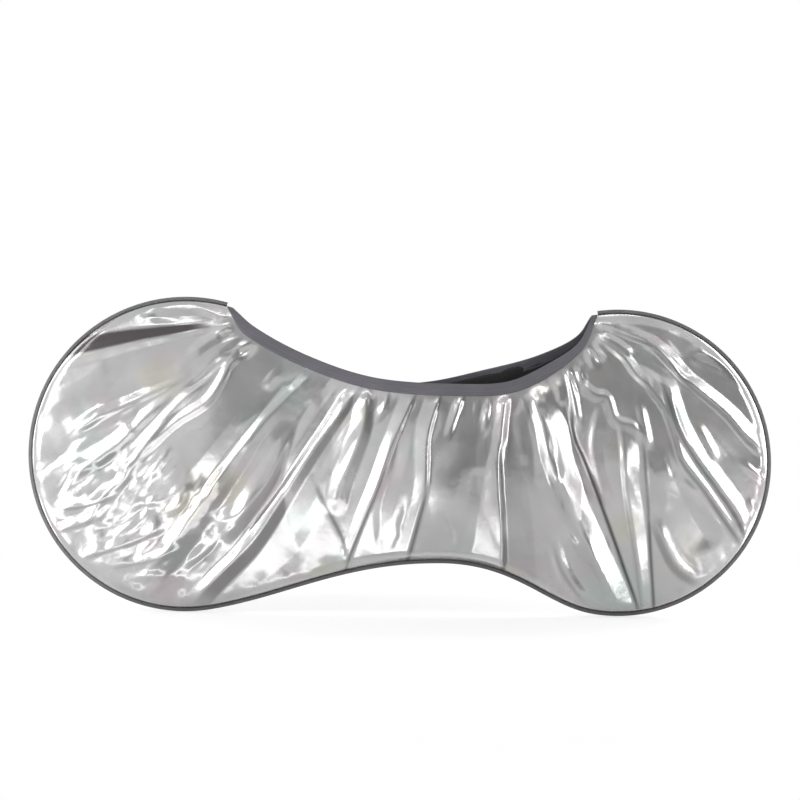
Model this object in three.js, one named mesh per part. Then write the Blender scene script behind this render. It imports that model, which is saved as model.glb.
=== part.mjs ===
// Hollow cloth cover for the two wheels of a road bicycle, as it stands on the wheels.
// Millimetres, +Z up. +X runs towards the rear wheel, -Y is the bicycle's left-hand side.
// The origin is on the ground, under the middle of the cover.
import * as THREE from 'three';

// ---------------------------------------------------------------- driving sizes
const CLOTH = 1.6;            // thickness of the coated cloth
const TAPE = 1.2;             // thickness of the band and of the binding
const GAP = 0.3;              // room between pieces that touch
const SEAM_TALL = 9.5;        // height of the seam that stands out round the whole edge
const SEAM_CLEAR = 1.5;       // cloth edge below the top of the binding
const BINDING_TALL = 8.2;     // height of the tape over the seam
const BAND_TALL = 25;         // height of the elastic band round the mouth
const BAND_TIP = 9;           // its height where it crosses a tyre
const TYRE_ROUND = 24;        // radius at which the cloth turns round the tyre
const SEAM_START = 13;        // distance along the crown from the mouth to the seam's end
const LEAST_LEAN = 0.8;       // limit on how far a slanting row is stretched under the band
// shares of the mouth over which the band narrows towards each tip
const BAND_TAPER = { front: 0.08, rear: 0.2 };

// lobes of the outline, seen from the side
const FRONT = { x: -478.5, z: 351.5, radius: 351.5, mouth: 73, leaves: 280 };
const REAR = { x: 487.5, z: 342.5, radius: 342.5, mouth: 460.5, leaves: 262 };
// underside between the lobes: its highest point and how far each curve pulls
const ARCH = { x: 95, z: 113.5, frontPull: 215, rearPull: 170, frontLobePull: 170, rearLobePull: 110 };

// edge of the cloth round the mouth, front to rear, without its two ends on the crowns
const NEAR_MOUTH = [
  { x: -328, z: 636 },
  { x: -216, z: 576 },
  { x: -63, z: 526 },
  { x: 122, z: 513 },
  { x: 240, z: 520 },
  { x: 327, z: 560 },
  { x: 396, z: 609 },
];
const FAR_MOUTH = [
  { x: -328, z: 634 },
  { x: -216, z: 570 },
  { x: -63, z: 513 },
  { x: 60, z: 518 },
  { x: 176, z: 543 },
  { x: 312, z: 581 },
  { x: 398, z: 626 },
];

// how the cloth fans out: share of the way along the mouth and along the outer edge
const FAN = [
  { mouth: 0, edge: 0 },
  { mouth: 0.03, edge: 0.125 },
  { mouth: 0.111, edge: 0.241 },
  { mouth: 0.248, edge: 0.313 },
  { mouth: 0.341, edge: 0.363 },
  { mouth: 0.487, edge: 0.471 },
  { mouth: 0.554, edge: 0.511 },
  { mouth: 0.705, edge: 0.576 },
  { mouth: 0.812, edge: 0.675 },
  { mouth: 0.893, edge: 0.71 },
  { mouth: 0.933, edge: 0.765 },
  { mouth: 0.973, edge: 0.829 },
  { mouth: 1, edge: 1 },
];
const FAN_MOUTH_WEIGHT = 0.4; // the rest of a column's place comes from the outer edge

// what holds the cloth out from the middle plane
const PROPS = [
  { name: 'front hub', x: -478.5, z: 351.5, out: 38, reach: 330 },
  { name: 'rear hub', x: 487.5, z: 342.5, out: 48, reach: 320 },
  { name: 'pedals', x: 74, z: 285, out: 72, reach: 330 },
];
const PROP_BLUNT = 0.16;      // roundness of the tent over a prop, as a share of its reach

// main folds: place across the fan, half width there, and height outwards (- is a valley)
const NEAR_FOLDS = [
  { name: 'wedge over the front tyre', at: 0.083, half: 0.02, high: -7, from: 0.1, to: 0.95 },
  { name: 'long front ridge', at: 0.176, half: 0.022, high: 8, from: 0, to: 0.75 },
  { name: 'front crumple', at: 0.228, half: 0.024, high: 7, from: 0.4, to: 1 },
  { name: 'valley to the front wheel', at: 0.287, half: 0.02, high: -9, from: 0, to: 0.95 },
  { name: 'flat facet', at: 0.32, half: 0.018, high: 8, from: 0.1, to: 0.9 },
  { name: 'second valley', at: 0.354, half: 0.02, high: -10, from: 0, to: 1 },
  { name: 'white facet', at: 0.405, half: 0.026, high: 9, from: 0.2, to: 1 },
  { name: 'thin middle valley', at: 0.477, half: 0.018, high: -6, from: 0, to: 1 },
  { name: 'middle ridge', at: 0.502, half: 0.016, high: 7, from: 0.1, to: 1 },
  { name: 'middle valley', at: 0.528, half: 0.018, high: -8, from: 0, to: 1 },
  { name: 'ridge behind the pedals', at: 0.618, half: 0.022, high: 8, from: 0.2, to: 1 },
  { name: 'great rear ridge', at: 0.725, half: 0.024, high: 13, from: 0.05, to: 1 },
  { name: 'narrow rear ridge', at: 0.768, half: 0.014, high: 7, from: 0.45, to: 1 },
  { name: 'valley at the rear tip', at: 0.832, half: 0.02, high: -8, from: 0.1, to: 1 },
  { name: 'rear ridge', at: 0.859, half: 0.016, high: 7, from: 0.2, to: 0.95 },
  { name: 'high rear valley', at: 0.887, half: 0.018, high: -7, from: 0.1, to: 0.95 },
];
const FAR_FOLDS = [
  { name: 'far front ridge', at: 0.13, half: 0.024, high: 8, from: 0.1, to: 0.9 },
  { name: 'far front valley', at: 0.205, half: 0.022, high: -8, from: 0, to: 0.95 },
  { name: 'far shoulder', at: 0.262, half: 0.024, high: 9, from: 0.2, to: 1 },
  { name: 'far second valley', at: 0.335, half: 0.02, high: -9, from: 0, to: 1 },
  { name: 'far middle ridge', at: 0.43, half: 0.024, high: 8, from: 0.1, to: 1 },
  { name: 'far middle valley', at: 0.51, half: 0.02, high: -8, from: 0, to: 1 },
  { name: 'far drive side ridge', at: 0.588, half: 0.022, high: 10, from: 0.1, to: 1 },
  { name: 'far rear valley', at: 0.668, half: 0.02, high: -9, from: 0, to: 1 },
  { name: 'far rear ridge', at: 0.752, half: 0.024, high: 9, from: 0.1, to: 1 },
  { name: 'far tip valley', at: 0.815, half: 0.018, high: -7, from: 0.1, to: 0.9 },
  { name: 'far top ridge', at: 0.905, half: 0.022, high: 7, from: 0.2, to: 0.9 },
];

// mesh density, and the rows of a column from the mouth to the outer edge
const COLUMNS = 62;
const INNER_ROWS = 6;
const TURN_STEPS = [TYRE_ROUND, 8, 2];
const OUTLINE_SAMPLES = 700;

const LOOKS = {
  cloth: { color: 0xb4b4b6, roughness: 0.3, metalness: 0.75 },
  trim: { color: 0x5a585e, roughness: 0.85, metalness: 0 },
};

const HALF_CLOTH = CLOTH / 2;
const PANEL_FROM_MIDDLE = GAP / 2 + HALF_CLOTH;
const MOUTH_ROW = 0;
const BAND_ROW = 1;
const EDGE_ROW = INNER_ROWS + TURN_STEPS.length + 2;
const SEAM_ROW = EDGE_ROW - 1;

// ---------------------------------------------------------------- outline and mouth
const radians = (degrees) => THREE.MathUtils.degToRad(degrees);
const polar = (lobe, degrees) => new THREE.Vector2(
  lobe.x + lobe.radius * Math.cos(radians(degrees)),
  lobe.z + lobe.radius * Math.sin(radians(degrees)),
);
const heading = (degrees) => new THREE.Vector2(Math.cos(radians(degrees)), Math.sin(radians(degrees)));

function lobeArc(lobe, from, to) {
  return new THREE.EllipseCurve(lobe.x, lobe.z, lobe.radius, lobe.radius, radians(from), radians(to));
}

// the outline runs from the mouth over the front lobe, under the arch and up the rear lobe
function makeOutline() {
  const frontEnd = polar(FRONT, FRONT.leaves);
  const rearStart = polar(REAR, REAR.leaves);
  const top = new THREE.Vector2(ARCH.x, ARCH.z);
  const outline = new THREE.CurvePath();
  outline.add(lobeArc(FRONT, FRONT.mouth, FRONT.leaves));
  outline.add(new THREE.CubicBezierCurve(
    frontEnd,
    frontEnd.clone().addScaledVector(heading(FRONT.leaves + 90), ARCH.frontLobePull),
    new THREE.Vector2(ARCH.x - ARCH.frontPull, ARCH.z),
    top,
  ));
  outline.add(new THREE.CubicBezierCurve(
    top,
    new THREE.Vector2(ARCH.x + ARCH.rearPull, ARCH.z),
    rearStart.clone().addScaledVector(heading(REAR.leaves + 90), -ARCH.rearLobePull),
    rearStart,
  ));
  outline.add(lobeArc(REAR, REAR.leaves, REAR.mouth));
  return outline;
}

const outline = makeOutline();
const outlineLength = outline.getLength();
const outlineSamples = Array.from(
  { length: OUTLINE_SAMPLES + 1 },
  (_, i) => outline.getPoint(i / OUTLINE_SAMPLES),
);

// a point at a depth inwards from the outline
function outlinePoint(share, depth) {
  const tangent = outline.getTangent(share);
  return outline.getPoint(share).add(new THREE.Vector2(-tangent.y, tangent.x).multiplyScalar(depth));
}

function distanceToOutline(point) {
  let nearest = Infinity;
  const along = new THREE.Vector2();
  const offset = new THREE.Vector2();
  for (let i = 0; i < OUTLINE_SAMPLES; i += 1) {
    along.subVectors(outlineSamples[i + 1], outlineSamples[i]);
    offset.subVectors(point, outlineSamples[i]);
    const t = THREE.MathUtils.clamp(offset.dot(along) / along.lengthSq(), 0, 1);
    nearest = Math.min(nearest, offset.addScaledVector(along, -t).length());
  }
  return nearest;
}

function makeMouth(table) {
  const middle = table.map((row) => new THREE.Vector2(row.x, row.z));
  const points = [outlinePoint(0, SEAM_TALL), ...middle, outlinePoint(1, SEAM_TALL)];
  return new THREE.CatmullRomCurve3(points.map((point) => new THREE.Vector3(point.x, 0, point.y)));
}

// ---------------------------------------------------------------- half width of the cover
// height of a blunt tent over a prop, from 1 at the prop to 0 at the end of its reach
function tent(ratio) {
  const top = Math.hypot(1, PROP_BLUNT) - PROP_BLUNT;
  return Math.max(0, (Math.hypot(1, PROP_BLUNT) - Math.hypot(ratio, PROP_BLUNT)) / top);
}

function halfWidth(point) {
  const depth = THREE.MathUtils.clamp(distanceToOutline(point) - SEAM_TALL, 0, TYRE_ROUND);
  const round = Math.sqrt(TYRE_ROUND ** 2 - (TYRE_ROUND - depth) ** 2);
  const inside = THREE.MathUtils.smoothstep(depth, 0, TYRE_ROUND);
  let out = PANEL_FROM_MIDDLE + round;
  for (const prop of PROPS) {
    const away = Math.hypot(point.x - prop.x, point.y - prop.z);
    out += inside * prop.out * tent(away / prop.reach);
  }
  return out;
}

// a fold rises over the first half of its run, then keeps its height to the outer edge
function foldHeight(folds, at, down) {
  let out = 0;
  for (const fold of folds) {
    const across = Math.abs(at - fold.at) / fold.half;
    if (across < 1 && down > fold.from && down < fold.to) {
      const run = (down - fold.from) / (fold.to - fold.from);
      const swell = Math.sin(Math.PI * Math.min(0.5, run));
      out += fold.high * swell * (0.5 + 0.5 * Math.cos(Math.PI * across));
    }
  }
  return out;
}

// ---------------------------------------------------------------- columns of the fan
function fanAt(at) {
  const place = (row) => FAN_MOUTH_WEIGHT * row.mouth + (1 - FAN_MOUTH_WEIGHT) * row.edge;
  const next = Math.max(1, FAN.findIndex((row) => place(row) >= at));
  const t = (at - place(FAN[next - 1])) / (place(FAN[next]) - place(FAN[next - 1]));
  return {
    at,
    mouth: THREE.MathUtils.lerp(FAN[next - 1].mouth, FAN[next].mouth, t),
    edge: THREE.MathUtils.lerp(FAN[next - 1].edge, FAN[next].edge, t),
  };
}

// column places: even, but each main fold draws the nearest column to its crest
function columnPlaces() {
  const places = Array.from({ length: COLUMNS + 1 }, (_, i) => i / COLUMNS);
  for (const fold of NEAR_FOLDS) {
    places[Math.round(fold.at * COLUMNS)] = fold.at;
  }
  return places;
}
const columns = columnPlaces().map(fanAt);

function bandTall(mouthShare) {
  const fromFront = THREE.MathUtils.smoothstep(mouthShare, 0, BAND_TAPER.front);
  const fromRear = THREE.MathUtils.smoothstep(1 - mouthShare, 0, BAND_TAPER.rear);
  return THREE.MathUtils.lerp(BAND_TIP, BAND_TALL, Math.min(fromFront, fromRear));
}

// one column of the cloth's middle surface, from the mouth to the outer edge
function columnPoints(column, side, mouth, folds) {
  const start = SEAM_START / outlineLength;
  const share = THREE.MathUtils.lerp(start, 1 - start, column.edge);
  const mouthPoint = mouth.getPointAt(column.mouth);
  const first = new THREE.Vector2(mouthPoint.x, mouthPoint.z);
  const turn = outlinePoint(share, SEAM_TALL + TYRE_ROUND);
  const ahead = mouth.getTangentAt(column.mouth);
  const slant = turn.clone().sub(first).normalize();
  const lean = Math.abs(ahead.x * slant.y - ahead.z * slant.x);
  const second = first.clone().addScaledVector(slant, bandTall(column.mouth) / Math.max(LEAST_LEAN, lean));
  const flat = [first, second];
  for (let i = 1; i < INNER_ROWS; i += 1) {
    flat.push(second.clone().lerp(turn, i / INNER_ROWS));
  }
  for (const step of TURN_STEPS) {
    flat.push(outlinePoint(share, SEAM_TALL + step));
  }
  flat.push(outlinePoint(share, SEAM_TALL), outlinePoint(share, SEAM_CLEAR));
  return flat.map((point, row) => {
    const down = (row - BAND_ROW) / INNER_ROWS;
    const fold = down > 0 && down <= 1 ? foldHeight(folds, column.at, down) : 0;
    const out = row >= SEAM_ROW ? PANEL_FROM_MIDDLE : halfWidth(point) + fold;
    return new THREE.Vector3(point.x, side * out, point.y);
  });
}

// the end columns lie along the crown of the tyre, where the two panels meet edge to edge
function crownPoints(end, side) {
  const inward = end === 0 ? 1 : -1;
  const onCrown = (along, depth, middle) => {
    const point = outlinePoint(end + inward * along / outlineLength, depth);
    return new THREE.Vector3(point.x, side * middle, point.y);
  };
  const corner = onCrown(SEAM_START, SEAM_TALL, PANEL_FROM_MIDDLE);
  const points = [onCrown(0, SEAM_TALL, GAP / 2), onCrown(bandTall(end), SEAM_TALL, GAP / 2)];
  for (let row = BAND_ROW + 1; row < EDGE_ROW; row += 1) {
    points.push(corner);
  }
  points.push(onCrown(SEAM_START, SEAM_CLEAR, PANEL_FROM_MIDDLE));
  return points;
}

function crownNormal(end) {
  const inner = outlinePoint(end, SEAM_TALL);
  const outer = outlinePoint(end, 0);
  return new THREE.Vector3(outer.x - inner.x, 0, outer.y - inner.y).normalize();
}

// ---------------------------------------------------------------- sheets with thickness
// a grid of points becomes one sheet: shared points are joined and empty triangles dropped
class Sheet {
  constructor(grid, closed, flipped) {
    this.points = [];
    this.lookup = new Map();
    this.index = grid.map((line) => line.map((point) => this.add(point)));
    this.triangles = [];
    const lines = closed ? grid.length : grid.length - 1;
    for (let i = 0; i < lines; i += 1) {
      for (let j = 0; j < grid[0].length - 1; j += 1) {
        this.quad(i, (i + 1) % grid.length, j, flipped);
      }
    }
    this.findNormals();
  }

  add(point) {
    const key = [point.x, point.y, point.z].map((value) => value.toFixed(3)).join(' ');
    if (!this.lookup.has(key)) {
      this.lookup.set(key, this.points.length);
      this.points.push(point);
    }
    return this.lookup.get(key);
  }

  span(from, to) {
    return this.points[from].distanceTo(this.points[to]);
  }

  // a quad is split along its shorter diagonal, so a tape folds as the cloth under it does
  quad(i, k, j, flipped) {
    const a = this.index[i][j];
    const b = this.index[k][j];
    const c = this.index[k][j + 1];
    const d = this.index[i][j + 1];
    const shorter = this.span(a, c) <= this.span(b, d);
    const halves = shorter ? [[a, b, c], [a, c, d]] : [[a, b, d], [b, c, d]];
    for (const corners of halves) {
      if (new Set(corners).size === 3) {
        this.triangles.push(flipped ? corners.reverse() : corners);
      }
    }
  }

  findNormals() {
    this.normals = this.points.map(() => new THREE.Vector3());
    for (const [a, b, c] of this.triangles) {
      const face = new THREE.Triangle(this.points[a], this.points[b], this.points[c]);
      const normal = face.getNormal(new THREE.Vector3());
      [[a, b, c], [b, c, a], [c, a, b]].forEach(([from, next, last]) => {
        const one = this.points[next].clone().sub(this.points[from]);
        const two = this.points[last].clone().sub(this.points[from]);
        this.normals[from].addScaledVector(normal, one.angleTo(two));
      });
    }
    this.normals.forEach((normal) => normal.normalize());
  }

  // the surface is moved both ways along its normals and closed along its free edges
  thicken(thickness) {
    const count = this.points.length;
    const position = new Float32Array(count * 6);
    this.points.forEach((point, i) => {
      point.clone().addScaledVector(this.normals[i], thickness / 2).toArray(position, i * 3);
      point.clone().addScaledVector(this.normals[i], -thickness / 2).toArray(position, (count + i) * 3);
    });
    const faces = [];
    const edges = new Set();
    for (const [a, b, c] of this.triangles) {
      faces.push(a, b, c, count + a, count + c, count + b);
      [[a, b], [b, c], [c, a]].forEach((edge) => edges.add(edge.join(' ')));
    }
    for (const edge of edges) {
      const [a, b] = edge.split(' ').map(Number);
      if (!edges.has(`${b} ${a}`)) {
        faces.push(b, a, count + a, b, count + a, count + b);
      }
    }
    const geometry = new THREE.BufferGeometry();
    geometry.setAttribute('position', new THREE.BufferAttribute(position, 3));
    geometry.setIndex(faces);
    geometry.computeVertexNormals();
    return geometry;
  }
}

// one panel; the cloth under the band takes its normals from that strip alone, as the band does
function makePanel(side, mouth, folds) {
  const grid = columns.map((column, i) => {
    if (i === 0 || i === COLUMNS) {
      return crownPoints(column.at, side);
    }
    return columnPoints(column, side, mouth, folds);
  });
  const sheet = new Sheet(grid, false, side < 0);
  const underBand = new Sheet(grid.map((line) => line.slice(MOUTH_ROW, BAND_ROW + 1)), false, side < 0);
  columns.forEach((column, i) => {
    for (const row of [MOUTH_ROW, BAND_ROW]) {
      const onCrown = i === 0 || i === COLUMNS;
      const normal = onCrown ? crownNormal(column.at) : underBand.normals[underBand.index[i][row]];
      sheet.normals[sheet.index[i][row]].copy(normal);
    }
  });
  return sheet;
}

// ---------------------------------------------------------------- tapes
// the band is folded over the cloth: outer leg, fold, inner leg
function bandStation(panel, i) {
  const head = panel.index[i][MOUTH_ROW];
  const foot = panel.index[i][BAND_ROW];
  const off = HALF_CLOTH + GAP + TAPE / 2;
  const up = panel.points[head].clone().sub(panel.points[foot]).normalize();
  const top = panel.points[head].clone().addScaledVector(up, GAP + TAPE / 2);
  return [
    panel.points[foot].clone().addScaledVector(panel.normals[foot], off),
    top.clone().addScaledVector(panel.normals[head], off),
    top.clone().addScaledVector(panel.normals[head], -off),
    panel.points[foot].clone().addScaledVector(panel.normals[foot], -off),
  ];
}

// over a crown the band crosses from one panel to the other
function crownStation(panels, i) {
  const [one, two] = panels.map((panel) => bandStation(panel, i));
  return one.map((point, k) => point.clone().lerp(two[k], 0.5));
}

function makeBand(near, far) {
  const stations = [crownStation([near, far], 0)];
  for (let i = 1; i < COLUMNS; i += 1) {
    stations.push(bandStation(near, i));
  }
  stations.push(crownStation([near, far], COLUMNS));
  for (let i = COLUMNS - 1; i > 0; i -= 1) {
    stations.push(bandStation(far, i));
  }
  return new Sheet(stations, true, true);
}

// the binding is folded over the seam: near leg, top, far leg
function makeBinding(near) {
  const off = PANEL_FROM_MIDDLE + HALF_CLOTH + GAP + TAPE / 2;
  const stations = near.index.map((line) => {
    const top = near.points[line[EDGE_ROW]];
    const base = near.points[line[SEAM_ROW]];
    const out = top.clone().sub(base).normalize();
    const head = top.clone().addScaledVector(out, GAP + TAPE / 2);
    const foot = top.clone().addScaledVector(out, SEAM_CLEAR - BINDING_TALL);
    return [[foot, -off], [head, -off], [head, off], [foot, off]].map(
      ([point, y]) => new THREE.Vector3(point.x, y, point.z),
    );
  });
  return new Sheet(stations, false, false);
}

// ---------------------------------------------------------------- the cover
function addPiece(group, name, sheet, thickness, look) {
  const mesh = new THREE.Mesh(sheet.thicken(thickness), new THREE.MeshStandardMaterial(look));
  mesh.name = name;
  group.add(mesh);
}

const cover = new THREE.Group();
const near = makePanel(-1, makeMouth(NEAR_MOUTH), NEAR_FOLDS);
const far = makePanel(1, makeMouth(FAR_MOUTH), FAR_FOLDS);
addPiece(cover, 'near_panel', near, CLOTH, LOOKS.cloth);
addPiece(cover, 'far_panel', far, CLOTH, LOOKS.cloth);
addPiece(cover, 'opening_band', makeBand(near, far), TAPE, LOOKS.trim);
addPiece(cover, 'edge_binding', makeBinding(near), TAPE, LOOKS.trim);

export default cover;
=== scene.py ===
"""Looks of a hollow bicycle wheel cover: creased silver cloth, an elastic band and a bound seam.

Metres, +Z up, +X towards the rear wheel. The near panel faces the camera, which looks along +Y.
"""

import math

import bmesh
import bpy
import numpy as np
from mathutils import Matrix, Vector


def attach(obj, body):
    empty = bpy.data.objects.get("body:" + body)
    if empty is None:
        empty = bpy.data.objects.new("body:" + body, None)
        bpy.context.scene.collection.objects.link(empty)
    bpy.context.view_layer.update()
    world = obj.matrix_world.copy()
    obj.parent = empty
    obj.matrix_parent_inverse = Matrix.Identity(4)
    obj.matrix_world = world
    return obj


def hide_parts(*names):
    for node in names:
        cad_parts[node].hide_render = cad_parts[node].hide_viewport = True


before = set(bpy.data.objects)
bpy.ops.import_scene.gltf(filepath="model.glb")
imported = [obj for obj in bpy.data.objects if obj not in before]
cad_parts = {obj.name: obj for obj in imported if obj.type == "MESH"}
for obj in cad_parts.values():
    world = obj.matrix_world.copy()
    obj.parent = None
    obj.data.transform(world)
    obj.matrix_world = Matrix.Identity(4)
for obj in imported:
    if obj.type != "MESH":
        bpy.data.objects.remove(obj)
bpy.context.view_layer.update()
BODY = "root"
MM = 0.001

# -------- sizes, as in the CAD model
CLOTH = 1.0 * MM  # as it shows, inside the CAD sheet
TAPE = 1.1 * MM
ROOM = 0.3 * MM  # between pieces that touch in the real thing
SEAM_FROM_MIDDLE = 0.95 * MM  # of each panel, where it lies flat in the seam
SEAM_TALL = 9.5 * MM
SEAM_CLEAR = 1.5 * MM  # from the outline to the cloth's edge
BINDING_TALL = 8.2 * MM
BAND_TALL = 25 * MM
BAND_TIP = 9 * MM  # the band's height where it crosses a tyre
BAND_TAPER = {"front": 0.08, "rear": 0.2}  # shares of the mouth over which it narrows
LEAST_LEAN = 0.8  # least sine that is taken for the fan's slant against the mouth
TYRE_ROUND = 24 * MM
TIP_SHARE = 0.05  # of the columns at each end, where the rounding over the tyre fades out
SEAM_START = 13 * MM  # along the outline, from the mouth to the cloth's end columns

# mouth and leaves: degrees at which the mouth meets a lobe and the arch leaves it
FRONT = {"x": -0.4785, "z": 0.3515, "radius": 0.3515, "mouth": 73, "leaves": 280}
REAR = {"x": 0.4875, "z": 0.3425, "radius": 0.3425, "mouth": 460.5, "leaves": 262}
ARCH = {"x": 0.095, "z": 0.1135}
ARCH_PULLS = {"front_lobe": 0.17, "front": 0.215, "rear": 0.17, "rear_lobe": 0.11}

# points of each mouth's edge, x and z in mm
NEAR_MOUTH = [(-328, 636), (-216, 576), (-63, 526), (122, 513), (240, 520), (327, 560), (396, 609)]
FAR_MOUTH = [(-328, 634), (-216, 570), (-63, 513), (60, 518), (176, 543), (312, 581), (398, 626)]

# share of the way along the mouth, and along the outer edge, of the lines that fan out
FAN_MOUTH = [0, 0.03, 0.111, 0.248, 0.341, 0.487, 0.554, 0.705, 0.812, 0.893, 0.933, 0.973, 1]
FAN_EDGE = [0, 0.125, 0.241, 0.313, 0.363, 0.471, 0.511, 0.576, 0.675, 0.71, 0.765, 0.829, 1]
FAN_MOUTH_WEIGHT = 0.4  # how far the columns' spacing is the mouth's, not the edge's

# what holds the cloth apart: the front hub, the rear hub and the pedals
PROPS = [
    {"x": FRONT["x"], "z": FRONT["z"], "out": 0.038, "reach": 0.33},
    {"x": REAR["x"], "z": REAR["z"], "out": 0.048, "reach": 0.32},
    {"x": 0.074, "z": 0.285, "out": 0.072, "reach": 0.33},
]
PROP_BLUNT = 0.16

# the outer face's grid; the inner face has every second point of it
COLUMNS = 640
BAND_ROWS = 3
INNER_ROWS = 103
TURN_ROWS = 10
SEAM_ROW = BAND_ROWS + INNER_ROWS + TURN_ROWS
CALM_ROWS = 6  # below the band, where the creases rise to their full height
CALM_EDGE = 0.7 * TYRE_ROUND  # inside the seam, the same

CURVE_STEPS = {"arc": 400, "arch": 200, "mouth": 60, "crease": 7}
BAND_STEPS = 6  # up each leg of the folded band
BINDING_STEPS = 3
FOLD_ANGLES = (30, 60, 90, 120, 150)  # round a tape's fold, in degrees
JOIN_WITHIN = 1e-6
TINY = 1e-7  # length of an edge that counts as none
LEAST_NORMAL = 1e-12  # makes a division safe where points coincide
UV_NAME = "cloth"
# the point attribute that carries the creases' painted shade
SHADE_NAME = "fold_shade"
CARRIED_BACK = 60  # mm, from the first point of a crease to the band
PLACED_TO = 5  # mm, to which such a point is rounded


# -------- creases, in mm
def carried_back(path):
    """The path with one more point before it, straight back from its first stretch."""
    (x, z), (next_x, next_z) = path[:2]
    back = CARRIED_BACK / math.hypot(next_x - x, next_z - z)
    start = (x + (x - next_x) * back, z + (z - next_z) * back)
    return [tuple(PLACED_TO * round(part / PLACED_TO) for part in start)] + path


def crease(path, high, fore, aft, dark=0.0, shaded="aft", from_band=False):
    """A row of the tables below, in mm. Its path runs away from the mouth.

    high is outwards, and fore and aft are the widths of the crease's two sides: at the path's start and
    end, or one number for both. Aft is on the path's left hand. dark is painted shade: how much darker
    the base colour is painted on one side, the aft side unless shaded says fore. from_band carries the
    path back to the band.
    """
    if from_band:
        path = carried_back(path)
    high, fore, aft = (np.broadcast_to(size, 2) * MM for size in (high, fore, aft))
    return {"path": np.array(path) * MM, "sizes": (high, fore, aft), "dark": dark, "shaded": shaded}


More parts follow.
